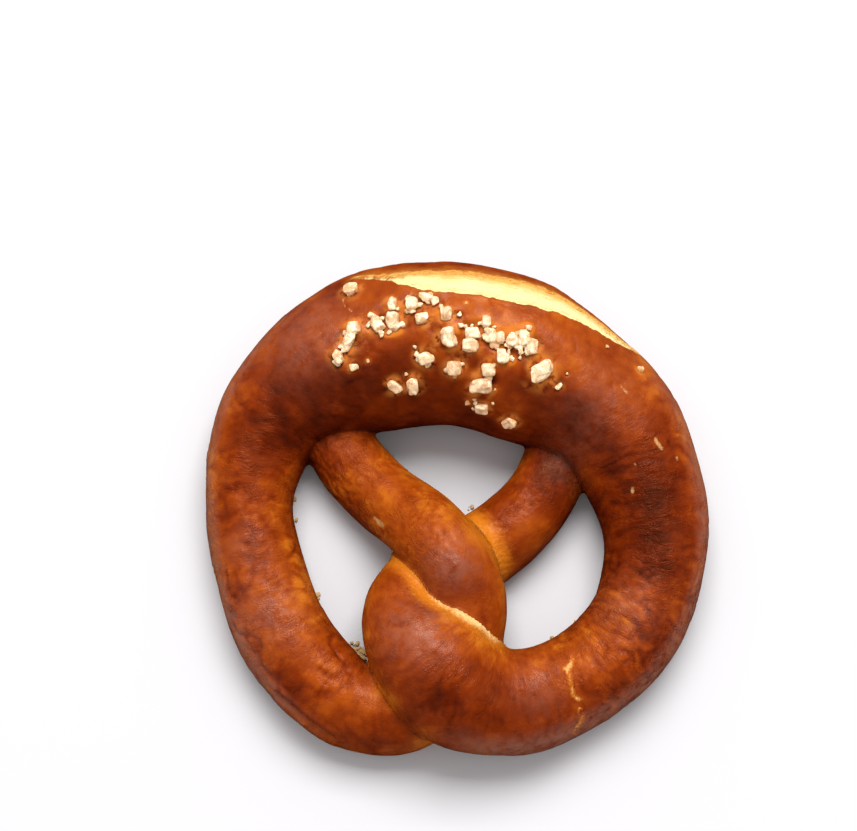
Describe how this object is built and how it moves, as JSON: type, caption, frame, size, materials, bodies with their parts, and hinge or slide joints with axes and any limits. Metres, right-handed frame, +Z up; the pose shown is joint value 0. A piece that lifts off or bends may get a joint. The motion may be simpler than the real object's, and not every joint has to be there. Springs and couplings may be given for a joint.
{
  "type": "pretzel",
  "caption": "Baked soft pretzel: a rope of dough with a thick split belly, side loops and thin arms twisted together in the middle, with coarse salt on top.",
  "frame": {"origin": "bottom centre of the bounding box, on the surface that the pretzel lies on", "axes": "+X to the right seen from above with the belly at the top, +Y towards the belly, +Z up from the sole"},
  "size_m": [0.1284, 0.1266, 0.0366],
  "materials": {
    "crust": "glossy brown baked crust"
  },
  "bodies": {
    "root": {"pretzel": "crust"}
  },
  "joints": []
}
